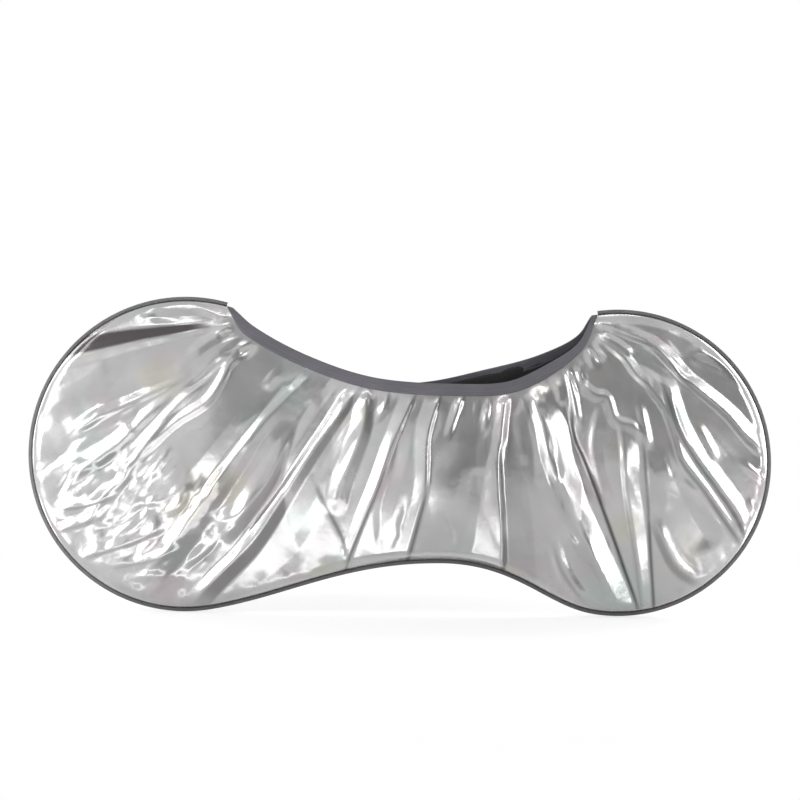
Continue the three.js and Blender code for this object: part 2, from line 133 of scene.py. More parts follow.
NEAR_CREASES = [
    # front lobe: the dark wedge by its top, and the pale lines on both sides of it
    crease([(-400, 653), (-480, 643), (-600, 630), (-715, 614), (-790, 604)],
           high=(3, 13), fore=(10, 34), aft=(12, 50), dark=1.0),
    crease([(-330, 655), (-380, 644), (-480, 622), (-600, 596), (-690, 572), (-800, 545)],
           high=(3, 8), fore=(10, 24), aft=(8, 22)),
    crease([(-540, 672), (-590, 688), (-630, 672)], high=4, fore=10, aft=8),
    # front lobe: pale streaks that run down to its left
    crease([(-470, 525), (-520, 500), (-600, 465), (-680, 425), (-720, 395)],
           high=(3, 9), fore=(10, 24), aft=(8, 12), dark=0.3),
    crease([(-500, 490), (-560, 435), (-620, 375), (-680, 330), (-740, 300)],
           high=(4, 13), fore=(12, 40), aft=(10, 20), dark=0.45),
    crease([(-420, 530), (-450, 500), (-510, 440), (-580, 350), (-620, 300)],
           high=(4, 8), fore=(14, 22), aft=(9, 12), dark=0.35),
    crease([(-320, 595), (-375, 555), (-395, 515), (-425, 470), (-500, 420), (-565, 355), (-610, 295),
            (-650, 240)],
           high=(6, 9), fore=(14, 18), aft=(10, 14), dark=0.3),
    crease([(-365, 570), (-400, 560), (-440, 520), (-485, 485)], high=-4, fore=8, aft=10),
    crease([(-480, 370), (-540, 300), (-600, 200), (-690, 180)],
           high=(-5, -7), fore=(12, 14), aft=(14, 18)),
    crease([(-590, 575), (-640, 500), (-740, 440)], high=(-4, -5), fore=50, aft=60),
    # the long line and the broad grey stripe below it
    crease([(-190, 540), (-260, 470), (-340, 380), (-405, 290), (-440, 225)],
           from_band=True, high=(5, 9), fore=(14, 20), aft=(36, 60)),
    crease([(-370, 340), (-410, 285), (-460, 210), (-520, 130), (-560, 90)],
           high=(8, 14), fore=(12, 30), aft=(34, 44), dark=0.4),
    crease([(-225, 550), (-300, 460), (-380, 350), (-450, 260)],
           from_band=True, high=(-3, -6), fore=(30, 44), aft=(12, 16)),
    crease([(-270, 440), (-330, 340), (-390, 240), (-440, 165)],
           high=(-4, -9), fore=(16, 20), aft=(30, 44)),
    # the great pale facet, the double dark stripe and the pale triangle
    crease([(-235, 430), (-255, 380), (-290, 300), (-345, 225), (-400, 160)],
           high=(6, 13), fore=(40, 60), aft=(10, 30), dark=0.35),
    crease([(-95, 505), (-150, 425), (-215, 330), (-265, 250), (-330, 155), (-400, 85),
            (-470, 10)],
           from_band=True, high=(5, 14), fore=(20, 18), aft=(14, 34), dark=0.6),
    crease([(-120, 510), (-165, 440), (-225, 345), (-290, 250), (-370, 150)],
           from_band=True, high=(-3, -6), fore=(14, 20), aft=9),
    crease([(-205, 315), (-180, 265), (-155, 215), (-130, 165), (-115, 100)],
           high=(2, 7), fore=(10, 110), aft=(6, 10), dark=0.25),
    # between the lobes
    crease([(-75, 500), (-80, 425), (-110, 340), (-135, 280), (-150, 220)],
           from_band=True, high=(7, 9), fore=(30, 24), aft=(10, 32), dark=0.4),
    crease([(-30, 495), (-40, 450), (-60, 425)], from_band=True, high=5, fore=(18, 14), aft=8, dark=0.3),
    crease([(30, 490), (-15, 385), (-55, 275), (-80, 215), (-120, 110), (-140, 30)],
           from_band=True, high=(5, 10), fore=(26, 14), aft=(7, 9), dark=0.7),
    crease([(85, 490), (60, 400), (55, 290), (40, 225), (10, 110), (-5, 50)],
           from_band=True, high=(6, 10), fore=(30, 18), aft=(8, 12), dark=0.7),
    crease([(5, 420), (-15, 320), (-40, 230), (-25, 130)], high=(-4, -5), fore=(16, 20), aft=(20, 30)),
    crease([(135, 485), (120, 440), (100, 380)],
           from_band=True, high=(6, 4), fore=(16, 12), aft=8, dark=0.4),
    crease([(150, 400), (130, 300), (110, 220)], high=3, fore=60, aft=30),
    crease([(90, 240), (110, 200), (125, 150)], high=-4, fore=8, aft=9),
    crease([(195, 488), (190, 445), (180, 400)], from_band=True, high=(7, 3), fore=(16, 12), aft=9),
    crease([(232, 490), (224, 430), (218, 370)], from_band=True, high=(7, 6), fore=(14, 16), aft=(12, 16)),
    crease([(216, 400), (217, 330), (221, 240), (225, 150), (226, 40)],
           high=(4, 34), fore=(12, 85), aft=(8, 14), dark=0.5),
    crease([(221, 280), (225, 150), (226, 40)], high=(3, 9), fore=(40, 85), aft=(10, 16)),
    crease([(245, 480), (235, 400), (225, 330), (235, 195), (240, 40)],
           from_band=True, high=(-2, -4), fore=10, aft=(40, 70), dark=0.12),
    # rear lobe, where the upper right side of a crease is the pale one: the great facet
    crease([(300, 475), (315, 430), (330, 350), (355, 285), (390, 210), (435, 125), (480, 40),
            (505, -20)],
           from_band=True, high=(12, 16), fore=(20, 12), aft=(60, 34)),
    crease([(365, 480), (380, 395), (400, 350), (430, 275), (460, 200), (495, 105), (520, 40),
            (540, -20)],
           from_band=True, high=(-9, -8), fore=(66, 38), aft=(11, 10), dark=0.9),
    crease([(290, 480), (270, 350), (270, 240), (290, 130)], high=(-4, -6), fore=50, aft=50),
    crease([(370, 540), (380, 500), (395, 410)],
           from_band=True, high=(6, 7), fore=8, aft=(14, 12), dark=0.4, shaded="fore"),
    crease([(400, 580), (400, 525), (430, 495), (455, 490), (475, 440), (515, 425), (540, 390)],
           high=(6, 4), fore=(16, 18), aft=(12, 11), dark=0.2, shaded="fore"),
    crease([(445, 485), (425, 380), (460, 240)],
           high=(5, 6), fore=(10, 9), aft=(22, 16), dark=0.2, shaded="fore"),
    crease([(480, 450), (490, 400), (500, 290), (525, 150), (545, 30), (555, -30)],
           high=(7, 10), fore=9, aft=(34, 22), dark=0.2, shaded="fore"),
    crease([(525, 430), (540, 300), (550, 160), (562, 35), (570, -30)],
           high=-5, fore=(44, 18), aft=10, dark=0.8),
    # rear lobe: the branching lines and the double line
    crease([(460, 605), (495, 575), (520, 540), (560, 505)], from_band=True, high=(6, 5), fore=9, aft=16),
    crease([(545, 560), (550, 515), (585, 465), (610, 400), (625, 355), (680, 285), (720, 230), (780, 150)],
           high=(6, 7), fore=(11, 12), aft=(24, 22), dark=0.6, shaded="fore"),
    crease([(580, 560), (600, 480), (620, 420), (660, 355), (705, 295), (755, 225), (785, 160)],
           high=(6, 10), fore=(11, 13), aft=(20, 32), dark=0.7, shaded="fore"),
    crease([(520, 500), (530, 460), (550, 370)],
           high=(5, 4), fore=10, aft=(14, 12), dark=0.4, shaded="fore"),
    crease([(600, 340), (640, 240), (700, 150)], high=(-6, -8), fore=50, aft=40),
    crease([(450, 655), (510, 628), (555, 610), (595, 572), (640, 525), (725, 455), (770, 405), (825, 355)],
           high=(4, 9), fore=(11, 14), aft=(14, 28), dark=0.6, shaded="fore"),
    crease([(520, 610), (560, 598), (640, 510)], high=5, fore=8, aft=10, dark=0.3, shaded="fore"),
    crease([(435, 635), (475, 612), (520, 580)], high=(6, 5), fore=9, aft=10, dark=0.5, shaded="fore"),
    crease([(620, 560), (650, 590), (705, 575), (780, 505)],
           high=(5, 6), fore=(20, 14), aft=(18, 20), dark=0.4, shaded="fore"),
    crease([(655, 440), (680, 390), (705, 345)], high=4, fore=9, aft=12, dark=0.4, shaded="fore"),
    crease([(750, 350), (780, 330), (820, 300)], high=5, fore=9, aft=10),
    crease([(770, 270), (800, 220)], high=5, fore=8, aft=9),
    crease([(560, 240), (580, 185), (620, 115), (685, 75)],
           high=(6, 7), fore=(15, 20), aft=18, dark=0.4, shaded="fore"),
    crease([(325, 165), (358, 50)], high=6, fore=8, aft=(14, 13)),
    crease([(340, 180), (370, 100), (425, 25)], high=7, fore=10, aft=15, dark=0.3, shaded="fore"),
    crease([(370, 195), (430, 110)], high=7, fore=8, aft=14),
    crease([(590, 400), (650, 270), (730, 190)], high=(3, 4), fore=(14, 20), aft=(40, 50)),
    # the crumpled foot of the front lobe
    crease([(-610, 270), (-690, 240), (-770, 230)], high=(7, 6), fore=(20, 16), aft=10, dark=0.3),
    crease([(-620, 225), (-700, 200), (-770, 180)], high=(6, 5), fore=(16, 14), aft=10, dark=0.2),
    crease([(-500, 200), (-600, 155), (-710, 120)], high=(7, 6), fore=(18, 16), aft=10, dark=0.3),
    crease([(-460, 150), (-550, 120), (-650, 100)], high=(6, 5), fore=14, aft=9, dark=0.2),
    crease([(-640, 310), (-700, 330), (-770, 250)], high=(-5, -4), fore=10, aft=9),
    crease([(-400, 200), (-420, 150), (-480, 100)], high=5, fore=(20, 16), aft=10, dark=0.2),
]
FAR_CREASES = [
    crease([(-380, 645), (-520, 640), (-690, 588)], high=(3, 9), fore=(12, 24), aft=(8, 16)),
    crease([(-370, 630), (-500, 570), (-640, 480), (-770, 420)],
           high=(-4, -9), fore=(12, 22), aft=(14, 30)),
    crease([(-335, 600), (-430, 520), (-560, 380), (-700, 240)],
           high=(5, 12), fore=(14, 20), aft=(20, 44), dark=0.3),
    crease([(-280, 575), (-370, 470), (-480, 320), (-610, 130)],
           high=(-5, -10), fore=(16, 26), aft=(22, 44)),
    crease([(-215, 545), (-290, 430), (-390, 260), (-485, 100)],
           high=(5, 12), fore=(12, 24), aft=(20, 52), dark=0.3),
    crease([(-140, 515), (-200, 390), (-270, 240), (-355, 50)],
           high=(-5, -11), fore=(16, 28), aft=(18, 36)),
    crease([(-60, 485), (-90, 370), (-130, 250), (-195, 80)],
           high=(6, 12), fore=(16, 34), aft=(12, 22), dark=0.4),
    crease([(15, 485), (0, 380), (-20, 250), (-50, 125)], high=(-4, -8), fore=(12, 18), aft=(16, 30)),
    crease([(95, 495), (85, 380), (75, 250), (60, 125)],
           high=(4, 9), fore=(18, 26), aft=(30, 50), dark=0.5),
    crease([(165, 512), (170, 400), (175, 260), (165, 120)], high=(-5, -9), fore=(18, 28), aft=(14, 24)),
    crease([(235, 530), (250, 420), (265, 280), (270, 105)],
           high=(6, 12), fore=(14, 24), aft=(22, 46), dark=0.3),
    crease([(300, 550), (330, 440), (365, 300), (392, 105)], high=(-6, -10), fore=(20, 32), aft=(16, 28)),
    crease([(345, 575), (400, 440), (450, 300), (505, 80)],
           high=(7, 12), fore=(22, 30), aft=(50, 34), dark=0.4),
    crease([(385, 600), (460, 480), (530, 320), (605, 110)], high=(-6, -10), fore=(20, 32), aft=(14, 22)),
    crease([(420, 622), (520, 520), (620, 380), (728, 200)],
           high=(6, 10), fore=(12, 20), aft=(16, 34), dark=0.3),
    crease([(440, 640), (560, 570), (680, 470), (790, 345)], high=(-4, -9), fore=(14, 24), aft=(12, 18)),
    crease([(450, 657), (580, 642), (700, 570), (796, 466)], high=(4, 8), fore=(10, 18), aft=(12, 22)),
    crease([(560, 300), (600, 210), (688, 114)], high=6, fore=(12, 14), aft=(12, 16)),
    crease([(-600, 420), (-700, 350), (-795, 328)], high=6, fore=(12, 14), aft=(10, 12)),
    crease([(-560, 210), (-650, 150), (-726, 116)], high=(6, 5), fore=(10, 12), aft=(10, 12)),
]


# -------- outline and mouth as polylines
def heading(degrees):
    angle = np.radians(degrees)
    return np.stack([np.cos(angle), np.sin(angle)], -1)


def polar(lobe, degrees):
    """Points on a lobe's edge."""
    return np.array([lobe["x"], lobe["z"]]) + lobe["radius"] * heading(degrees)


def bezier(a, b, c, d):
    t = np.linspace(0, 1, CURVE_STEPS["arch"])[:, None]
    s = 1 - t
    return s**3 * a + 3 * s * s * t * b + 3 * s * t * t * c + t**3 * d


class Line:
    """A polyline in the XZ plane that is read by its share of the length."""

    def __init__(self, points):
        keep = np.r_[True, np.hypot(*np.diff(points, axis=0).T) > TINY]
        self.points = points[keep]
        steps = np.hypot(*np.diff(self.points, axis=0).T)
        self.length = steps.sum()
        self.share = np.r_[0, np.cumsum(steps)] / self.length
        tangent = np.gradient(self.points, self.share, axis=0)
        self.tangents = tangent / np.hypot(*tangent.T)[:, None]

    def _read(self, values, share):
        return np.stack([np.interp(share, self.share, values[:, k]) for k in (0, 1)], -1)

    def at(self, share):
        return self._read(self.points, share)

    def tangent(self, share):
        t = self._read(self.tangents, share)
        return t / np.hypot(t[..., 0], t[..., 1])[..., None]


def make_outline():
    """From the front end of the mouth, round both lobes, to its rear end."""
    front_end = polar(FRONT, FRONT["leaves"])
    rear_start = polar(REAR, REAR["leaves"])
    top = np.array([ARCH["x"], ARCH["z"]])
    down = front_end + ARCH_PULLS["front_lobe"] * heading(FRONT["leaves"] + 90)
    up = rear_start - ARCH_PULLS["rear_lobe"] * heading(REAR["leaves"] + 90)
    return Line(np.concatenate([
        polar(FRONT, np.linspace(FRONT["mouth"], FRONT["leaves"], CURVE_STEPS["arc"])),
        bezier(front_end, down, top - [ARCH_PULLS["front"], 0], top),
        bezier(top, top + [ARCH_PULLS["rear"], 0], up, rear_start),
        polar(REAR, np.linspace(REAR["leaves"], REAR["mouth"], CURVE_STEPS["arc"])),
    ]))


OUTLINE = make_outline()


def inward(share, depth):
    """Points at a depth inside the outline."""
    tangent = OUTLINE.tangent(share)
    normal = np.stack([-tangent[..., 1], tangent[..., 0]], -1)
    return OUTLINE.at(share) + normal * np.asarray(depth)[..., None]


def spline(points, steps):
    """Centripetal Catmull-Rom curve through the points."""
    ring = np.array([2 * points[0] - points[1], *points, 2 * points[-1] - points[-2]])
    out = []
    for p0, p1, p2, p3 in zip(ring, ring[1:], ring[2:], ring[3:]):
        gaps = [math.sqrt(np.linalg.norm(b - a)) for a, b in ((p0, p1), (p1, p2), (p2, p3))]
        knots = np.cumsum([0] + gaps)
        t = np.linspace(knots[1], knots[2], steps)[:, None]

        def mix(a, b, i, j):
            return ((knots[j] - t) * a + (t - knots[i]) * b) / (knots[j] - knots[i])

        low, mid, high = mix(p0, p1, 0, 1), mix(p1, p2, 1, 2), mix(p2, p3, 2, 3)
        out.append(mix(mix(low, mid, 0, 2), mix(mid, high, 1, 3), 1, 2)[:-1])
    return np.concatenate([*out, [points[-1]]])


def make_mouth(table):
    """The mouth's edge, between the two places where it meets the seam."""
    points = [inward(0.0, SEAM_TALL), *np.array(table) * MM, inward(1.0, SEAM_TALL)]
    return Line(spline(points, CURVE_STEPS["mouth"]))


# -------- width of the cover
def distance_to_line(points, line):
    """Distance from points (n, 2) to a polyline, its side (left is 1), and the share along it."""
    best = np.full(len(points), np.inf)
    side = np.zeros(len(points))
    share = np.zeros(len(points))
    total = np.hypot(*np.diff(line, axis=0).T).sum()
    run = 0.0
    for a, b in zip(line, line[1:]):
        along = b - a
        length = np.hypot(*along)
        t = np.clip(((points - a) @ along) / length**2, 0, 1)
        gap = points - a - t[:, None] * along
        away = np.hypot(gap[:, 0], gap[:, 1])
        nearer = away < best
        cross = along[0] * (points[:, 1] - a[1]) - along[1] * (points[:, 0] - a[0])
        best = np.where(nearer, away, best)
        side = np.where(nearer, np.sign(cross), side)
        share = np.where(nearer, (run + t * length) / total, share)
        run += length
    return best, side, share


def smooth(x, low, high):
    """0 below low, 1 above high, with an even rise between."""
    t = np.clip((x - low) / (high - low), 0, 1)
    return t * t * (3 - 2 * t)


def tent(ratio):
    """A blunt cone, 1 at its middle and 0 from ratio 1 on."""
    rim = math.hypot(1, PROP_BLUNT)
    return np.maximum(0, (rim - np.hypot(ratio, PROP_BLUNT)) / (rim - PROP_BLUNT))


def half_width(points, depth):
    """Distance of the cloth from the middle plane, at points with a known depth in the outline."""
    inside = np.clip(depth - SEAM_TALL, 0, TYRE_ROUND)
    out = SEAM_FROM_MIDDLE + np.sqrt(TYRE_ROUND**2 - (TYRE_ROUND - inside) ** 2)
    for prop in PROPS:
        away = np.hypot(points[..., 0] - prop["x"], points[..., 1] - prop["z"])
        out += smooth(inside, 0, TYRE_ROUND) * prop["out"] * tent(away / prop["reach"])
    return out


# -------- how creases are pressed in
BLUNT = 1.7 * MM
SHADE_EDGE = 5 * MM
OVER_CREST = 0.2  # share of the shade's edge that lies beyond the crest
TAPER = 70 * MM  # along a path, where its crease rises from nothing
TAPER_SHARE = (0.2, 0.45)  # least and most of a path that this may take
FAR_TAPER = 0.6  # the taper at a path's end, to that at its start

# columns and rows are shares of the grid; long and wide are in mm; slope is height over width
SMALL_CREASES = [
    {"count": 34, "columns": (0.02, 0.98), "rows": (0.1, 0.9), "long": (120, 330), "wide": (18, 50),
     "slope": (0.04, 0.12), "ridges": 0.6, "turn": 0.08},
    {"count": 44, "columns": (0.02, 0.98), "rows": (0.1, 0.95), "long": (70, 180), "wide": (9, 18),
     "slope": (0.06, 0.18), "ridges": 0.6, "turn": 0.12},
    {"count": 60, "columns": (0.06, 0.95), "rows": (0.035, 0.1), "long": (40, 100), "wide": (8, 14),
     "slope": (0.1, 0.28), "ridges": 0.5, "turn": 0.06},
    {"count": 70, "columns": (0.02, 0.98), "rows": (0.93, 1.0), "long": (50, 110), "wide": (12, 22),
     "slope": (0.06, 0.2), "ridges": 0.5, "turn": 0.2},
]
CRUMPLED = [
    {"count": 60, "columns": (0.19, 0.345), "rows": (0.52, 0.86), "long": (70, 170), "wide": (10, 26),
     "slope": (0.12, 0.28), "ridges": 0.6, "turn": 0.3},
    {"count": 50, "columns": (0.14, 0.33), "rows": (0.5, 0.88), "long": (60, 120), "wide": (9, 14),
     "slope": (0.1, 0.24), "ridges": 0.6, "turn": 0.5},
]
SMALL_BEND = 0.1  # to a small crease's length
SMALL_OTHER_SIDE = (0.5, 1.8)  # width of its second side, to the first
SMALL_TAPER = 0.45  # share of its path
LOST_IN_SHADE = 0.9  # share of a small crease's height
BILLOWS = [
    {"spacing": 0.15, "high": 0.004},
    {"spacing": 0.07, "high": 0.0016},
]


def press(field, shade, points, path, high, fore, aft, ends, dark=0.0, shaded="aft"):
    """Adds one crease: a straight-sided ridge or trough that fades at both ends."""
    reach = max(*fore, *aft)
    low, top = path.min(0) - reach, path.max(0) + reach
    near = np.flatnonzero(((points > low) & (points < top)).all(1))
    if not near.size:
        return
    away, side, share = distance_to_line(points[near], path)
    behind = side > 0
    width = np.where(behind, np.interp(share, (0, 1), aft), np.interp(share, (0, 1), fore))
    away = np.hypot(away, BLUNT) - BLUNT
    slope = np.clip(1 - away / width, 0, 1)
    fade = smooth(share, 0, ends) * smooth(1 - share, 0, ends * FAR_TAPER)
    field[near] += np.interp(share, (0, 1), high) * slope * fade
    # painted shade: the crease's shaded side is marked for a darker base colour
    if dark:
        inside = np.where(behind == (shaded == "aft"), away, -away)
        cover = smooth(inside, -OVER_CREST * SHADE_EDGE, (1 - OVER_CREST) * SHADE_EDGE)
        cover = cover * smooth(width - away, 0, SHADE_EDGE) * (fade * dark)
        shade[near] = np.maximum(shade[near], cover)


def main_creases(field, shade, points, table):
    for row in table:
        path = spline(row["path"], CURVE_STEPS["crease"])
        span = np.hypot(*np.diff(path, axis=0).T).sum()
        ends = float(np.clip(TAPER / span, *TAPER_SHARE))
        press(field, shade, points, path, *row["sizes"], ends, row["dark"], row["shaded"])


def small_creases(field, grid, points, rng, kind):
    """Short random creases in a zone of the grid, turned from the fan by a random angle."""
    columns, rows = grid.shape[:2]
    for _ in range(kind["count"]):
        i = int(rng.uniform(*kind["columns"]) * (columns - 2)) + 1
        j = int(rng.uniform(*kind["rows"]) * (rows - 2)) + 1
        middle = grid[i, j]
        along = grid[i, j + 1] - grid[i, j - 1]
        angle = math.atan2(along[1], along[0]) + rng.normal(0, kind["turn"])
        span = rng.uniform(*kind["long"]) * MM
        bend = rng.normal(0, SMALL_BEND) * span
        run = np.array([math.cos(angle), math.sin(angle)])
        across = np.array([-run[1], run[0]])
        path = np.array([middle - run * span / 2, middle + across * bend, middle + run * span / 2])
        width = rng.uniform(*kind["wide"]) * MM
        other = width * rng.uniform(*SMALL_OTHER_SIDE)
        lift = width * rng.uniform(*kind["slope"]) * (1 if rng.random() < kind["ridges"] else -1)
        press(field, None, points, path, (lift, lift), (width, width), (other, other), SMALL_TAPER)


def billow(points, rng, spacing, high):
    """Smooth random swelling of the cloth, from a lattice of random heights."""
    low = points.min(0) - spacing
    cells = (points - low) / spacing
    size = np.ceil(cells.max(0)).astype(int) + 2
    lattice = rng.uniform(-1, 1, size)
    whole = np.floor(cells).astype(int)
    i, j = whole.T
    t, u = smooth(cells - whole, 0, 1).T
    near = lattice[i, j] * (1 - t) + lattice[i + 1, j] * t
    beyond = lattice[i, j + 1] * (1 - t) + lattice[i + 1, j + 1] * t
    return high * (near * (1 - u) + beyond * u)


# -------- the cloth as a grid
def fan(at):
    """Where a column starts on the mouth and ends on the outer edge, both as shares."""
    place = FAN_MOUTH_WEIGHT * np.array(FAN_MOUTH) + (1 - FAN_MOUTH_WEIGHT) * np.array(FAN_EDGE)
    return np.interp(at, place, FAN_MOUTH), np.interp(at, place, FAN_EDGE)


def band_tall(share):
    front = smooth(share, 0, BAND_TAPER["front"])
    rear = smooth(1 - share, 0, BAND_TAPER["rear"])
    return BAND_TIP + (BAND_TALL - BAND_TIP) * np.minimum(front, rear)


def band_foot(head, turn, mouth, share):
    """The band's lower edge on each column, from head towards turn."""
    slant = turn - head
    slant /= np.hypot(*slant.T)[:, None]
    ahead = mouth.tangent(share)
    lean = np.abs(ahead[:, 0] * slant[:, 1] - ahead[:, 1] * slant[:, 0])
    foot = head + slant * (band_tall(share) / np.maximum(LEAST_LEAN, lean))[:, None]
    # on the end columns it lies on the seam
    for k, end, onward in ((0, 0, 1), (-1, 1, -1)):
        foot[k] = inward(end + onward * band_tall(end) / OUTLINE.length, SEAM_TALL)
    return foot


def panel_plan(mouth_table):
    """Points of the cloth in the XZ plane, (columns, rows, 2), from the mouth to the outer edge."""
    at = np.linspace(0, 1, COLUMNS + 1)
    mouth_share, edge_share = fan(at)
    start = SEAM_START / OUTLINE.length
    share = start + (1 - 2 * start) * edge_share
    mouth = make_mouth(mouth_table)
    head = mouth.at(mouth_share)
    tips = smooth(np.minimum(at, 1 - at), 0, TIP_SHARE)
    turn = inward(share, SEAM_TALL + TYRE_ROUND * tips)
    foot = band_foot(head, turn, mouth, mouth_share)
    rows = [head + (foot - head) * k / BAND_ROWS for k in range(BAND_ROWS)]
    rows += [foot + (turn - foot) * k / INNER_ROWS for k in range(INNER_ROWS)]
    for k in range(TURN_ROWS):
        depth = TYRE_ROUND * (1 - math.cos(math.pi / 2 * (1 - k / TURN_ROWS)))
        rows.append(inward(share, SEAM_TALL + depth * tips))
    rows += [inward(share, depth) for depth in (SEAM_TALL, SEAM_TALL / 2, SEAM_CLEAR)]
    return np.stack(rows, 1)


def panel_surface(side, mouth_table, crease_table, small_table, seed):
    """The cloth's middle surface (columns, rows, 3), and the painted shade of each of its points."""
    plan = panel_plan(mouth_table)
    flat = plan.reshape(-1, 2)
    depth = distance_to_line(flat, OUTLINE.points)[0]
    rng = np.random.default_rng(seed)
    field = np.zeros(len(flat))
    shade = np.zeros(len(flat))
    main_creases(field, shade, flat, crease_table)
    small = np.zeros(len(flat))
    for kind in small_table:
        small_creases(small, plan, flat, rng, kind)
    field += small * (1 - LOST_IN_SHADE * shade)
    for row in BILLOWS:
        field += billow(flat, rng, row["spacing"], row["high"])
    rows = np.tile(np.arange(plan.shape[1]), COLUMNS + 1)
    calm_top = smooth(rows, BAND_ROWS, BAND_ROWS + CALM_ROWS)
    calm_edge = smooth(depth, SEAM_TALL, SEAM_TALL + CALM_EDGE)
    field *= calm_top * calm_edge
    out = np.where(rows >= SEAM_ROW, SEAM_FROM_MIDDLE, half_width(flat, depth) + field)
    surface = np.stack([flat[:, 0], side * out, flat[:, 1]], -1).reshape(COLUMNS + 1, -1, 3)
    surface[[0, -1], :BAND_ROWS + 1, 1] = side * ROOM / 2
    return surface, shade.reshape(surface.shape[:2])


def inner_grid(surface):
    """Every second point of the cloth, moved in so far that the back shows through no valley."""
    out = np.abs(surface[..., 1])
    padded = np.pad(out, 1, mode="edge")
    columns, rows = out.shape
    around = [padded[i:i + columns, j:j + rows] for i in range(3) for j in range(3)]
    inner = surface.copy()
    inner[..., 1] = np.sign(surface[..., 1]) * np.min(around, axis=0)
    return inner[::2, ::2]


# -------- meshes
def add_object(name, data):
    made = bpy.data.objects.new(name, data)
    bpy.context.scene.collection.objects.link(made)
    return made


def grid_normals(grid, closed=False):
    """Unit normals; a closed grid's last column is followed by its first."""
    if closed:
        along = np.roll(grid, -1, 0) - np.roll(grid, 1, 0)
    else:
        along = np.gradient(grid, axis=0)
    normal = np.cross(along, np.gradient(grid, axis=1))
    size = np.linalg.norm(normal, axis=-1, keepdims=True)
    return normal / np.maximum(size, LEAST_NORMAL)


def rim_loops(index, closed):
    """The free edges of a grid as runs of points, with the sheet on the right, seen from outside."""
    loops = [index[:, 0][::-1], index[:, -1]]
    return loops if closed else loops + [index[0], index[-1][::-1]]


def sheet_faces(outer, inner, step, closed):
    """Faces of the outer side, of the back, and of the rims that join them."""
    faces, loops = [], []
    start = 0
    for layer in (outer, inner):
        index = start + np.arange(layer.shape[0] * layer.shape[1]).reshape(layer.shape[:2])
        start += index.size
        if closed:
            index = np.concatenate([index, index[:1]])
        quads = np.stack([index[:-1, :-1], index[1:, :-1], index[1:, 1:], index[:-1, 1:]], -1)
        faces.append(quads.reshape(-1, 4))
        loops.append(rim_loops(index, closed))
    rims = []
    for front, back in zip(*loops):
        for k in range(len(back) - 1):
            run = front[k * step:(k + 1) * step + 1].tolist()
            rims.append([*run[::-1], int(back[k]), int(back[k + 1])])
    return faces[0].tolist(), faces[1][:, ::-1].tolist(), rims


def add_uv(mesh, grid, steps):
    """UV in metres for each layer: u along the grid's middle row, v down its columns."""
    middle = grid[:, grid.shape[1] // 2]
    u = np.r_[0, np.cumsum(np.linalg.norm(np.diff(middle, axis=0), axis=1))]
    v = np.zeros(grid.shape[:2])
    v[:, 1:] = np.cumsum(np.linalg.norm(np.diff(grid, axis=1), axis=2), axis=1)
    uv = np.stack([np.broadcast_to(u[:, None], v.shape), v], -1)
    per_point = np.concatenate([uv[::step, ::step].reshape(-1, 2) for step in steps])
    corners = np.zeros(len(mesh.loops), np.int32)
    mesh.loops.foreach_get("vertex_index", corners)
    layer = mesh.uv_layers.new(name=UV_NAME)
    layer.data.foreach_set("uv", per_point[corners].astype(np.float32).ravel())


def thick_sheet(name, grid, thickness, materials, closed=False, shade=None, coarse_back=False):
    """A closed sheet on both sides of a grid of points. The back takes the last material."""
    step = 2 if coarse_back else 1
    back = inner_grid(grid) if coarse_back else grid
    outer_points = grid + grid_normals(grid, closed) * thickness / 2
    back_points = back - grid_normals(back, closed) * thickness / 2
    outer_faces, back_faces, rims = sheet_faces(outer_points, back_points, step, closed)
    points = np.concatenate([outer_points.reshape(-1, 3), back_points.reshape(-1, 3)])
    mesh = bpy.data.meshes.new(name)
    mesh.from_pydata(points.tolist(), [], outer_faces + back_faces + rims)
    for material in materials:
        mesh.materials.append(material)
    tags = np.zeros(len(mesh.polygons), np.int32)
    tags[len(outer_faces):len(outer_faces) + len(back_faces)] = len(materials) - 1
    mesh.polygons.foreach_set("material_index", tags)
    mesh.polygons.foreach_set("use_smooth", np.ones(len(tags), bool))
    add_uv(mesh, grid, (1, step))
    # the cloth's painted shade, kept on each point for the base colour
    if shade is not None:
        layer = mesh.attributes.new(SHADE_NAME, "FLOAT", "POINT")
        values = np.concatenate([shade.ravel(), shade[::step, ::step].ravel()])
        layer.data.foreach_set("value", values.astype(np.float32))
    mesh.update()
    return add_object(name, mesh)


def clean(piece):
    """Joins doubled points, such as those of the cloth's end columns on the seam."""
    work = bmesh.new()
    work.from_mesh(piece.data)
    bmesh.ops.remove_doubles(work, verts=work.verts, dist=JOIN_WITHIN)
    bmesh.ops.dissolve_degenerate(work, edges=work.edges, dist=TINY)
    bmesh.ops.recalc_face_normals(work, faces=work.faces)
    work.to_mesh(piece.data)
    work.free()


def make_band(near, far):
    """The elastic: folded over the cloth round the whole mouth, with a rounded fold."""
    off = CLOTH / 2 + ROOM + TAPE / 2
    stations = []
    for surface, side in ((near, 1), (far[::-1], -1)):
        head, foot = surface[:, 0], surface[:, BAND_ROWS]
        normal = grid_normals(surface[:, :BAND_ROWS + 1]) * side
        up = head - foot
        up /= np.linalg.norm(up, axis=1, keepdims=True)
        outer, back = [], []
        for k in range(BAND_STEPS + 1):
            base = foot + (head - foot) * k / BAND_STEPS
            out = normal[:, round(BAND_ROWS - k * BAND_ROWS / BAND_STEPS)] * off
            outer.append(base + out)
            back.append(base - out)
        fold = []
        for angle in FOLD_ANGLES:
            turn = math.radians(angle)
            fold.append(head + up * (off * math.sin(turn)) + normal[:, 0] * off * math.cos(turn))
        # the end columns, where the panels meet at the seam, are left out
        stations.append(np.stack([*outer, *fold, *back[::-1]], 1)[1:-1])
    return np.concatenate(stations)


